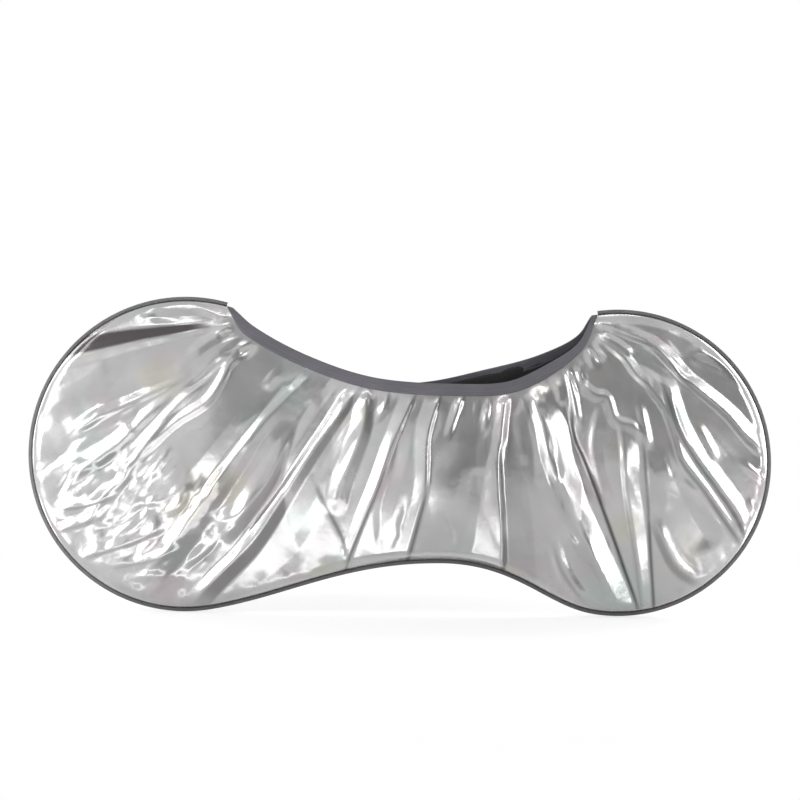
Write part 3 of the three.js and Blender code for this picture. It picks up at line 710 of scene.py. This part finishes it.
def make_binding(near):
    """The tape over the seam: near leg, rounded top, far leg."""
    off = SEAM_FROM_MIDDLE + CLOTH / 2 + ROOM + TAPE / 2
    top, base = near[:, -1], near[:, SEAM_ROW]
    out = (top - base)[:, [0, 2]]
    out /= np.hypot(*out.T)[:, None]
    low = SEAM_CLEAR - BINDING_TALL
    leg = [low * (1 - k / BINDING_STEPS) for k in range(BINDING_STEPS + 1)]
    section = [(rise, -off) for rise in leg]
    for angle in FOLD_ANGLES:
        turn = math.radians(angle)
        section.append(((SEAM_CLEAR - TAPE / 2) * math.sin(turn), -off * math.cos(turn)))
    section += [(rise, off) for rise in leg[::-1]]
    grid = np.zeros((len(near), len(section), 3))
    for j, (rise, y) in enumerate(section):
        grid[:, j, 0] = top[:, 0] + out[:, 0] * rise
        grid[:, j, 1] = y
        grid[:, j, 2] = top[:, 2] + out[:, 1] * rise
    return grid


# -------- materials; colours are linear red, green and blue
def opaque(color):
    return (*color, 1)


class Nodes:
    """Short ways to add and join the nodes of a tree."""

    def __init__(self, tree):
        self.tree = tree

    def node(self, kind, links=None, **values):
        """Adds a node; values are its properties or its inputs, links what its inputs take."""
        made = self.tree.nodes.new("ShaderNode" + kind)
        for key, value in values.items():
            if hasattr(made, key):
                setattr(made, key, value)
            else:
                made.inputs[key.replace("_", " ")].default_value = value
        for key, source in (links or {}).items():
            self.tree.links.new(source, made.inputs[key])
        return made

    def place(self):
        return self.node("TexCoord").outputs["Object"]

    def noise(self, vector, scale, detail):
        return self.node("TexNoise", {"Vector": vector}, Scale=scale, Detail=detail).outputs["Fac"]

    def feed(self, socket, value):
        """Gives an input a fixed value, or what another node puts out."""
        if isinstance(value, (int, float, tuple)):
            socket.default_value = value
        else:
            self.tree.links.new(value, socket)

    def math(self, operation, *values):
        made = self.node("Math", operation=operation)
        for socket, value in zip(made.inputs, values):
            self.feed(socket, value)
        return made.outputs[0]

    def ramp(self, source, low, high, to_low=0.0, to_high=1.0):
        made = self.node("MapRange", {"Value": source}, interpolation_type="SMOOTHSTEP",
                         From_Min=low, From_Max=high, To_Min=to_low, To_Max=to_high)
        return made.outputs["Result"]

    def mix(self, factor, a, b):
        """Mixes two colours. The sockets are numbered, because several are called A and B."""
        made = self.node("Mix", data_type="RGBA")
        for k, value in ((0, factor), (6, a), (7, b)):
            self.feed(made.inputs[k], value)
        return made.outputs[2]


class Paint(Nodes):
    """A Principled material."""

    def __init__(self, name, color, roughness, metallic=0.0):
        self.material = bpy.data.materials.new(name)
        self.material.use_nodes = True
        super().__init__(self.material.node_tree)
        self.shader = self.tree.nodes["Principled BSDF"]
        for key, value in (("Base Color", opaque(color)), ("Roughness", roughness), ("Metallic", metallic)):
            self.shader.inputs[key].default_value = value

    def join(self, source, socket):
        self.tree.links.new(source, self.shader.inputs[socket])

    def uv(self):
        """The piece's own UV, in metres."""
        return self.node("UVMap", uv_map=UV_NAME).outputs[0]

    def weave(self, threads):
        """A plain weave."""
        uv = self.uv()
        weft = self.node("TexWave", {"Vector": uv}, bands_direction="X", Scale=threads)
        warp = self.node("TexWave", {"Vector": uv}, bands_direction="Y", Scale=threads)
        return self.math("MULTIPLY", weft.outputs["Fac"], warp.outputs["Fac"])

    def bump(self, layers):
        """Stacks bumps: (height, how far in metres)."""
        below = {}
        for height, distance in layers:
            made = self.node("Bump", {"Height": height, **below}, Strength=1.0, Distance=distance)
            below = {"Normal": made.outputs[0]}
        self.join(below["Normal"], "Normal")


SILVER = (0.39, 0.385, 0.39)
SILVER_PALE = (0.45, 0.445, 0.448)
# painted shade: the near-black that the base colour turns to on the shaded side of a crease
SILVER_PAINTED_SHADE = (0.075, 0.068, 0.072)
TINTS = [
    {"offset": 1.7, "color": (0.42, 0.365, 0.38)},
    {"offset": 5.3, "color": (0.36, 0.415, 0.395)},
    {"offset": 9.1, "color": (0.41, 0.4, 0.335)},
]
TINT_STRONG = 0.6
BLACK = (0.012, 0.012, 0.013)
BLACK_GAP = (0.008, 0.008, 0.009)
BLACK_THREAD = (0.02, 0.02, 0.022)
SLATE = (0.104, 0.1, 0.114)
SLATE_GAP = (0.085, 0.082, 0.094)
SLATE_RIB = 1.6 * MM
SLATE_STITCHES = (5 * MM, 45 * MM)
BINDING_GREY = (0.115, 0.112, 0.118)
BINDING_GAP = (0.08, 0.078, 0.083)
BINDING_RIB = 1.4 * MM
BINDING_STITCHES = (1.8 * MM, 16 * MM)
WORN = 1.35  # a worn patch's colour, to the tape's own
WORN_STRONG = 0.35
STITCH_PALE = 1.5  # a stitch's colour, to the tape's own
STITCH_PITCH = 4.2 * MM
STITCH_WIDE = (0.9 * MM, 0.4 * MM)  # from its middle line, where it starts and where it is full


def silver_cloth():
    """Foil-coated cloth: mottled silver with faint tints, uneven, its weave just showing."""
    cloth = Paint("silver_cloth", SILVER, roughness=0.24, metallic=0.68)
    place = cloth.place()
    clouds = cloth.noise(place, scale=9.0, detail=3.0)
    color = cloth.mix(cloth.ramp(clouds, low=0.35, high=0.65), opaque(SILVER), opaque(SILVER_PALE))
    for tint in TINTS:
        offset = (tint["offset"], 0, tint["offset"])
        moved = cloth.node("Mapping", {"Vector": place}, Location=offset).outputs[0]
        patch = cloth.noise(moved, scale=7.0, detail=1.0)
        strength = cloth.ramp(patch, low=0.58, high=0.75, to_high=TINT_STRONG)
        color = cloth.mix(strength, color, opaque(tint["color"]))
    # painted shade: the fold attribute darkens the base colour on the shaded side of each crease
    fold = cloth.node("Attribute", attribute_name=SHADE_NAME).outputs["Fac"]
    cloth.join(cloth.mix(fold, color, opaque(SILVER_PAINTED_SHADE)), "Base Color")
    cloth.join(cloth.ramp(clouds, low=0.3, high=0.7, to_low=0.18, to_high=0.28), "Roughness")
    crinkle = cloth.noise(place, scale=38.0, detail=2.0)
    cloth.bump([(crinkle, 0.6 * MM), (cloth.weave(threads=300.0), 0.01 * MM)])
    return cloth.material


def black_back():
    """The cloth's uncoated inner face: matt black plain weave."""
    cloth = Paint("black_back", BLACK, roughness=0.7)
    weave = cloth.weave(threads=350.0)
    cloth.join(cloth.mix(weave, opaque(BLACK_GAP), opaque(BLACK_THREAD)), "Base Color")
    cloth.bump([(weave, 0.2 * MM)])
    return cloth.material


def woven_tape(name, thread, gap, rib_pitch, stitches_at, roughness):
    """A ribbed tape with two rows of stitches; stitches_at are their distances across the tape."""
    tape = Paint(name, thread, roughness)
    uv = tape.uv()
    along, across = tape.node("SeparateXYZ", {"Vector": uv}).outputs[:2]

    def wave(pitch):
        return tape.math("SINE", tape.math("MULTIPLY", along, 2 * math.pi / pitch))

    rib = tape.ramp(wave(rib_pitch), low=-1, high=1)
    fuzz = tape.noise(uv, scale=260.0, detail=4.0)
    worn = tape.noise(uv, scale=14.0, detail=3.0)
    color = tape.mix(rib, opaque(gap), opaque(thread))
    wear = tape.ramp(worn, low=0.4, high=0.75, to_high=WORN_STRONG)
    color = tape.mix(wear, color, opaque(WORN * c for c in thread))
    dash = tape.ramp(wave(STITCH_PITCH), low=-0.55, high=-0.25)
    rows = []
    for at in stitches_at:
        away = tape.math("ABSOLUTE", tape.math("SUBTRACT", across, at))
        rows.append(tape.math("MULTIPLY", tape.ramp(away, *STITCH_WIDE), dash))
    stitch = tape.math("MAXIMUM", *rows)
    tape.join(tape.mix(stitch, color, opaque(STITCH_PALE * c for c in thread)), "Base Color")
    tape.bump([(rib, 0.22 * MM), (fuzz, 0.2 * MM), (stitch, 0.6 * MM)])
    return tape.material


# -------- pieces
silver = silver_cloth()
inside = black_back()
slate = woven_tape("slate_elastic", SLATE, SLATE_GAP, SLATE_RIB, SLATE_STITCHES, roughness=0.82)
tape = woven_tape("grey_tape", BINDING_GREY, BINDING_GAP, BINDING_RIB, BINDING_STITCHES, roughness=0.5)

near_grid, near_shade = panel_surface(-1, NEAR_MOUTH, NEAR_CREASES, SMALL_CREASES + CRUMPLED, seed=11)
far_grid, far_shade = panel_surface(1, FAR_MOUTH, FAR_CREASES, SMALL_CREASES, seed=29)
cloth = {"thickness": CLOTH, "materials": (silver, inside), "coarse_back": True}
# the near panel's columns are turned round, so that its outer face looks towards -Y
near_panel = thick_sheet("near_cloth", near_grid[::-1], shade=near_shade[::-1], **cloth)
far_panel = thick_sheet("far_cloth", far_grid, shade=far_shade, **cloth)
band = thick_sheet("elastic_band", make_band(near_grid, far_grid), TAPE, (slate,), closed=True)
binding = thick_sheet("seam_binding", make_binding(near_grid), TAPE, (tape,))
for piece in (near_panel, far_panel, band, binding):
    clean(piece)
    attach(piece, BODY)
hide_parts("near_panel")
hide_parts("far_panel")
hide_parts("opening_band")
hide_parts("edge_binding")


# -------- stage
# Lamps and reflector cards stand round the cover, and some lamps lie on the floor. Each is repeated
# behind it. turn is in degrees from the camera's axis towards its left, rise in degrees above the ground.
LAMPS = [
    {"name": "key", "turn": 60, "rise": 16, "away": 2.4, "size": (0.85, 1.8), "shines": 7.5},
    {"name": "strip", "turn": 82, "rise": 10, "away": 3.0, "size": (0.3, 1.4), "shines": 4.0},
    {"name": "right_strip", "turn": -61, "rise": 14, "away": 2.4, "size": (0.6, 1.7), "shines": 6.5},
    {"name": "top", "turn": 10, "rise": 54, "away": 2.6, "size": (1.6, 0.35), "shines": 4.5},
]
# the cloth's lower half leans down, so its facets mirror these
FLOOR_LAMPS = [
    {"name": "low_left", "x": (-1.6, -0.95), "y": (-0.7, -0.2), "shines": 4.0},
    {"name": "low_right", "x": (0.95, 1.6), "y": (-0.6, -0.2), "shines": 3.5},
    {"name": "foot", "x": (-0.75, -0.39), "y": (-0.62, -0.3), "shines": 2.8},
    {"name": "middle", "x": (-0.38, -0.09), "y": (-1.35, -0.3), "shines": 2.7},
]
CARDS = [
    {"name": "behind_camera", "from": 8, "to": -16, "shade": 0.35},
    {"name": "right_front", "from": -16, "to": -38, "shade": 0.2},
    {"name": "right", "from": -38, "to": -66, "shade": 0.08},
]
AIM_HIGH = 0.4
FLOOR_LAMP_HIGH = 4 * MM
CARD_AWAY = 3.4
CARD_TOP = 3.0
CARD_STEPS = 6
CARD_FADES = 0.5  # height up to which a card turns from the floor's white to its own grey
FLOOR_HALF = 40
FLOOR_LOW = 1 * MM  # keeps the floor clear of the lowest seams
FLOOR_FADES = (0.8, 2.0)  # into plain white, at these distances from the cover's middle
FLOOR_LIT = (0.42, 0.42, 0.42)
FLOOR_GLOW = (0.6, 0.6, 0.6)
FLOOR_PLAIN = (0.85, 0.85, 0.85)
WORLD_LIGHT = (0.36, 0.36, 0.36)
WHITE = (1, 1, 1)

DISTANCE = 4.6  # from the camera to the middle plane of the cover
FRAME_WIDE = 1.788  # of the view, at that plane
SENSOR = 36  # in mm, like the lens
FAR_CLIP = 100
ROLL = 0.636  # in degrees
AIM = Vector((-0.001, 0, 0.4775))


def full_name(row, behind):
    return row["name"] + ("_behind" if behind else "")


def direction(turn, behind):
    angle = math.radians(turn) + (math.pi if behind else 0)
    return Vector((-math.sin(angle), -math.cos(angle), 0))


def add_area_lamp(name, size, shines, place, aim):
    """A rectangle of light that the camera doesn't see."""
    data = bpy.data.lights.new(name, "AREA")
    data.shape = "RECTANGLE"
    data.size, data.size_y = size
    data.energy = shines * math.pi * size[0] * size[1]
    lamp = add_object(name, data)
    lamp.location = place
    lamp.rotation_euler = (aim - place).to_track_quat("-Z", "Y").to_euler()
    lamp.visible_camera = False


def add_lamp(row, behind):
    rise = math.radians(row["rise"])
    aim = Vector((0, 0, AIM_HIGH))
    away = direction(row["turn"], behind) * math.cos(rise) + Vector((0, 0, math.sin(rise)))
    add_area_lamp(full_name(row, behind), row["size"], row["shines"], aim + row["away"] * away, aim)


def add_floor_lamp(row, behind):
    """A lamp that lies on the floor and shines up."""
    turned = -1 if behind else 1
    size = [row[axis][1] - row[axis][0] for axis in "xy"]
    place = Vector([turned * sum(row[axis]) / 2 for axis in "xy"] + [FLOOR_LAMP_HIGH])
    add_area_lamp(full_name(row, behind), size, row["shines"], place, place + Vector((0, 0, 1)))


def bare_material(name):
    material = bpy.data.materials.new(name)
    material.use_nodes = True
    material.node_tree.nodes.clear()
    return material, Nodes(material.node_tree)


def card_paint(name, shade):
    """Grey, turning white towards the floor."""
    material, nodes = bare_material(name)
    height = nodes.node("SeparateXYZ", {"Vector": nodes.place()}).outputs["Z"]
    grey = nodes.ramp(height, 0, CARD_FADES, to_low=1, to_high=shade)
    light = nodes.node("Emission", {"Color": grey}).outputs[0]
    nodes.node("OutputMaterial", {"Surface": light})
    return material


def add_card(row, behind):
    """A curved grey card that only shows in reflections."""
    name = "card_" + full_name(row, behind)
    points = []
    for k in range(CARD_STEPS + 1):
        turn = row["from"] + (row["to"] - row["from"]) * k / CARD_STEPS
        foot = CARD_AWAY * direction(turn, behind)
        points += [foot, foot + Vector((0, 0, CARD_TOP))]
    faces = [(2 * k, 2 * k + 2, 2 * k + 3, 2 * k + 1) for k in range(CARD_STEPS)]
    mesh = bpy.data.meshes.new(name)
    mesh.from_pydata(points, [], faces)
    mesh.materials.append(card_paint(name, row["shade"]))
    card = add_object(name, mesh)
    for ray in ("camera", "diffuse", "transmission", "shadow", "volume_scatter"):
        setattr(card, "visible_" + ray, False)


def seen_directly(nodes):
    """1 for camera, glossy and transmission rays."""
    rays = nodes.node("LightPath").outputs
    most = nodes.math("MAXIMUM", rays["Is Camera Ray"], rays["Is Glossy Ray"])
    return nodes.math("MAXIMUM", most, rays["Is Transmission Ray"])


def make_floor():
    """A white floor. Part of what the eye sees glows, the rest is lit and keeps the shadow."""
    material, nodes = bare_material("pale_floor")
    away = nodes.node("VectorMath", {0: nodes.place()}, operation="LENGTH").outputs["Value"]
    lit = nodes.node("BsdfDiffuse", Color=opaque(FLOOR_LIT)).outputs[0]
    glow = nodes.node("Emission", Color=opaque(FLOOR_GLOW)).outputs[0]
    close = nodes.node("AddShader", {0: lit, 1: glow}).outputs[0]
    white = nodes.node("Emission", Color=opaque(WHITE)).outputs[0]
    fade = nodes.ramp(away, *FLOOR_FADES)
    seen = nodes.node("MixShader", {0: fade, 1: close, 2: white}).outputs[0]
    plain = nodes.node("BsdfDiffuse", Color=opaque(FLOOR_PLAIN)).outputs[0]
    both = nodes.node("MixShader", {0: seen_directly(nodes), 1: plain, 2: seen}).outputs[0]
    nodes.node("OutputMaterial", {"Surface": both})
    mesh = bpy.data.meshes.new("floor")
    corners = [(x * FLOOR_HALF, y * FLOOR_HALF, 0) for x, y in ((-1, -1), (1, -1), (1, 1), (-1, 1))]
    mesh.from_pydata(corners, [], [(0, 1, 2, 3)])
    mesh.materials.append(material)
    floor = add_object("floor", mesh)
    floor.location.z = -FLOOR_LOW


def make_world():
    """White to the eye and in reflections, dimmer as light."""
    world = bpy.data.worlds.new("studio")
    world.use_nodes = True
    bpy.context.scene.world = world
    nodes = Nodes(world.node_tree)
    color = nodes.mix(seen_directly(nodes), opaque(WORLD_LIGHT), opaque(WHITE))
    nodes.tree.links.new(color, nodes.tree.nodes["Background"].inputs["Color"])


def make_camera():
    data = bpy.data.cameras.new("camera")
    data.sensor_width = SENSOR
    data.lens = SENSOR * DISTANCE / FRAME_WIDE
    data.clip_end = FAR_CLIP
    camera = add_object("camera", data)
    facing = Matrix.Rotation(math.radians(90), 4, "X")
    roll = Matrix.Rotation(math.radians(ROLL), 4, "Z")
    camera.matrix_world = Matrix.Translation(AIM + Vector((0, -DISTANCE, 0))) @ facing @ roll
    bpy.context.scene.camera = camera


make_floor()
make_world()
for behind in (False, True):
    for row in LAMPS:
        add_lamp(row, behind)
    for row in FLOOR_LAMPS:
        add_floor_lamp(row, behind)
    for row in CARDS:
        add_card(row, behind)
make_camera()
bpy.context.scene.view_settings.view_transform = "Standard"
